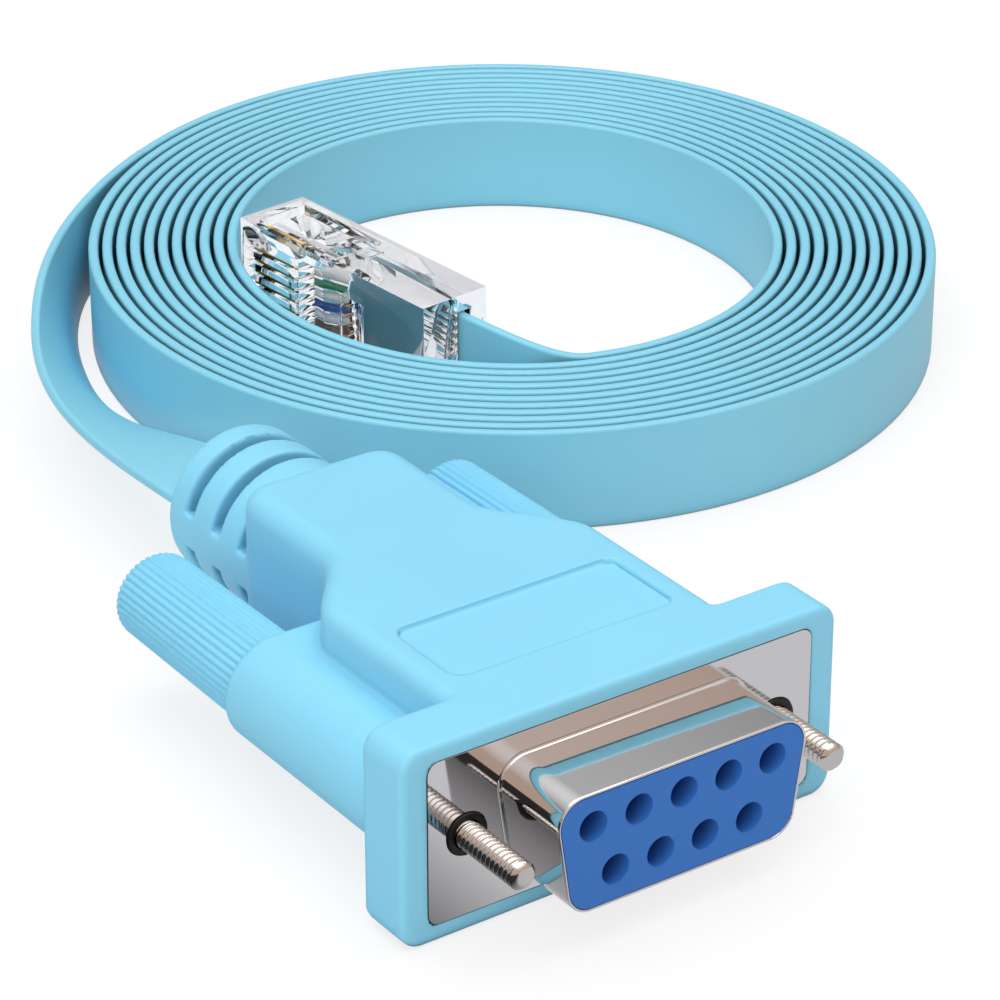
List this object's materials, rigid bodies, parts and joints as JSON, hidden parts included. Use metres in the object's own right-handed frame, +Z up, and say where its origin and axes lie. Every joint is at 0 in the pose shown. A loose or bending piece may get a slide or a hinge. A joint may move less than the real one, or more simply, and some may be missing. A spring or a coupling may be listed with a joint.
{
  "type": "rj45 console cable",
  "caption": "Flat console cable wound on edge into a coil, with a D-shaped socket connector in a moulded hood with thumbscrews at one end and a clear modular plug at the other.",
  "frame": {"origin": "middle of the underside of the connector, hood and thumbscrews, without the cable", "axes": "+Y from the mating face towards the strain relief, +Z up from the face it lies on, +X across the screws"},
  "size_m": [0.0957, 0.1171, 0.0143],
  "materials": {
    "sky_plastic": "soft satin moulding",
    "shell_plate": "bright plated steel",
    "blue_insert": "satin moulded insulator",
    "gold_contact": "thin gold plate",
    "screw_steel": "bright plated thread",
    "black_rubber": "dull black ring",
    "flat_cable": "satin flexible jacket",
    "clear_plastic": "clear polished",
    "wire_white_1": "wire insulation",
    "wire_brown": "wire insulation",
    "wire_white_2": "wire insulation",
    "wire_blue": "wire insulation",
    "wire_white_3": "wire insulation",
    "wire_green": "wire insulation",
    "wire_white_4": "wire insulation",
    "wire_orange": "wire insulation"
  },
  "bodies": {
    "cable": {"hood": "sky_plastic", "connector_shell": "shell_plate", "insulator": "blue_insert", "socket_contact_1": "gold_contact", "socket_contact_2": "gold_contact", "socket_contact_3": "gold_contact", "socket_contact_4": "gold_contact", "socket_contact_5": "gold_contact", "socket_contact_6": "gold_contact", "socket_contact_7": "gold_contact", "socket_contact_8": "gold_contact", "socket_contact_9": "gold_contact", "screw_grommet_left": "black_rubber", "screw_grommet_right": "black_rubber", "cable_tail": "flat_cable", "cable_coil": "flat_cable", "plug_lead": "flat_cable", "plug_body": "clear_plastic", "plug_blade_1": "gold_contact", "plug_blade_2": "gold_contact", "plug_blade_3": "gold_contact", "plug_blade_4": "gold_contact", "plug_blade_5": "gold_contact", "plug_blade_6": "gold_contact", "plug_blade_7": "gold_contact", "plug_blade_8": "gold_contact", "plug_wire_1": "wire_white_1", "plug_wire_2": "wire_brown", "plug_wire_3": "wire_white_2", "plug_wire_4": "wire_blue", "plug_wire_5": "wire_white_3", "plug_wire_6": "wire_green", "plug_wire_7": "wire_white_4", "plug_wire_8": "wire_orange"},
    "thumbscrew_left": {"thumbscrew_grip_left": "sky_plastic", "jackscrew_left": "screw_steel"},
    "thumbscrew_right": {"thumbscrew_grip_right": "sky_plastic", "jackscrew_right": "screw_steel"}
  },
  "joints": [
    {"name": "thumbscrew_left_turn", "type": "hinge", "parent": "cable", "child": "thumbscrew_left", "pos_m": [-0.0125, 0, 0.00735], "axis": [0, 1, 0], "continuous": true},
    {"name": "thumbscrew_right_turn", "type": "hinge", "parent": "cable", "child": "thumbscrew_right", "pos_m": [0.0125, 0, 0.00735], "axis": [0, 1, 0], "continuous": true}
  ]
}
